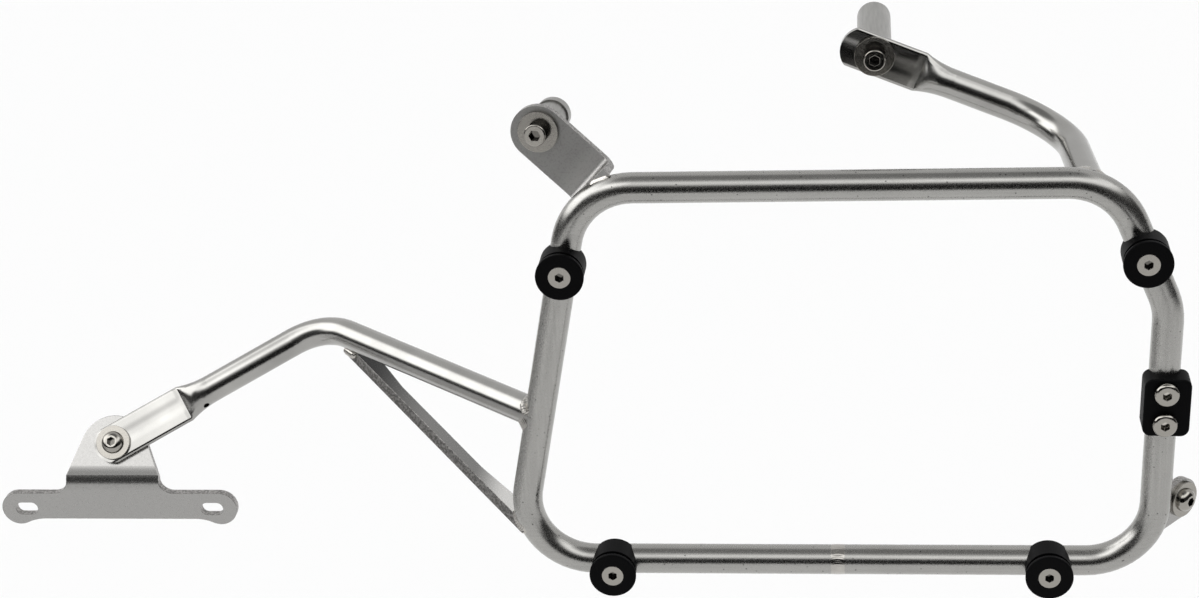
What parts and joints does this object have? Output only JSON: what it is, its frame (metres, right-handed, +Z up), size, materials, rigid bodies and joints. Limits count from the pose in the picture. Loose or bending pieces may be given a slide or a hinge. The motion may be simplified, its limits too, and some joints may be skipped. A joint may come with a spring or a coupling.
{
  "type": "motorbike pannier frame",
  "caption": "Side pannier frame of bent steel tube: a rounded hoop with spool pucks and a latch block, a braced front foot with slotted bracket, and bolted upper arms.",
  "frame": {"origin": "centre of the rear upper bolt where it leaves its spacer's inboard face", "axes": "+X to the motorbike's rear, along the hoop's level runs; +Y inboard, along the rear upper bolt; +Z up"},
  "size_m": [0.757, 0.206, 0.3191],
  "materials": {
    "satin_tube": "satin electropolished stainless tube",
    "satin_plate": "satin stainless plate, cut edges left as cut",
    "turned_spacer": "matt turned steel",
    "bright_fastener": "bright stainless fasteners",
    "black_moulding": "fine matt black moulding"
  },
  "bodies": {
    "root": {"brace_gusset": "satin_plate", "brace_tube": "satin_tube", "bracket_bolt": "bright_fastener", "front_bracket": "satin_plate", "front_upper_bolt": "bright_fastener", "front_upper_spacer": "turned_spacer", "front_upper_tab": "satin_plate", "hoop": "satin_tube", "latch_block": "black_moulding", "latch_screws": "bright_fastener", "lower_washers": "bright_fastener", "lug_screw": "bright_fastener", "nuts": "bright_fastener", "puck_front_lower": "black_moulding", "puck_front_upper": "black_moulding", "puck_rear_lower": "black_moulding", "puck_rear_upper": "black_moulding", "puck_screws": "bright_fastener", "rear_lug": "satin_plate", "rear_upper_arm": "satin_tube", "rear_upper_bolt": "bright_fastener", "rear_upper_spacer": "turned_spacer", "threaded_bushes": "bright_fastener", "upper_washers": "bright_fastener"}
  },
  "joints": []
}
